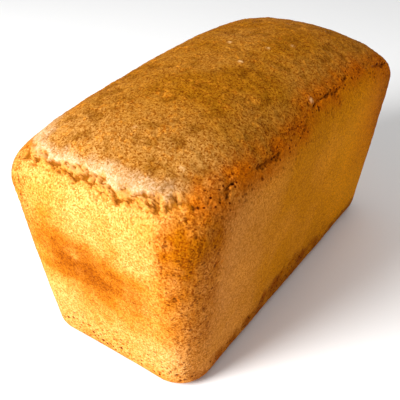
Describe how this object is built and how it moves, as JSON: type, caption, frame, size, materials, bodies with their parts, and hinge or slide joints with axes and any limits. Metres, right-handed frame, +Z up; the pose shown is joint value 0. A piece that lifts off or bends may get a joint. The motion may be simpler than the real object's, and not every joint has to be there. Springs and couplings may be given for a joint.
{
  "type": "tin loaf",
  "caption": "Whole loaf of bread baked in a deep tin: tapered walls, rounded corners, domed crown and a rough split under it.",
  "frame": {"origin": "middle of the flat base, on the surface that the loaf stands on", "axes": "+X along the loaf, +Y across it, +Z up through the crown"},
  "size_m": [0.2207, 0.1104, 0.1295],
  "materials": {
    "crust": "matte golden-brown bread crust, finely dimpled"
  },
  "bodies": {
    "root": {"loaf": "crust"}
  },
  "joints": []
}
